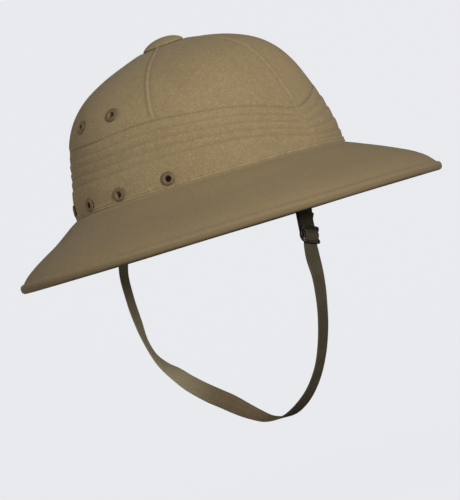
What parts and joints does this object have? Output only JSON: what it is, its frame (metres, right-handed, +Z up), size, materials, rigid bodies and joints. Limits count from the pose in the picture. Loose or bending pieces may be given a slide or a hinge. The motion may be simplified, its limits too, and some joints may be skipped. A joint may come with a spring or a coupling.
{
  "type": "pith helmet",
  "caption": "Moulded sun helmet: domed crown with folded band, wide sloping brim, covered button, ventilation eyelets and an adjustable webbing chin strap hanging as a loop.",
  "frame": {"origin": "centre of the head opening, level with the crown's foot where the brim begins, which is where a head holds the helmet", "axes": "+X towards the wearer's front, +Y towards the wearer's left, +Z up through the crown"},
  "size_m": [0.34, 0.284, 0.2811],
  "materials": {
    "shell_cloth": "matt khaki cotton over pressed fibre",
    "button_cloth": "matt khaki cotton",
    "webbing": "woven dark olive",
    "eyelet_metal": "blackened, worn",
    "slide_metal": "black, satin",
    "anchor_metal": "dull"
  },
  "bodies": {
    "root": {"shell": "shell_cloth", "crown_button": "button_cloth", "eyelet_low_1": "eyelet_metal", "eyelet_low_2": "eyelet_metal", "eyelet_low_3": "eyelet_metal", "eyelet_low_4": "eyelet_metal", "eyelet_high_1": "eyelet_metal", "eyelet_high_2": "eyelet_metal", "strap_anchor_right": "anchor_metal", "strap_anchor_left": "anchor_metal", "slide": "slide_metal", "chin_strap": "webbing"}
  },
  "joints": []
}
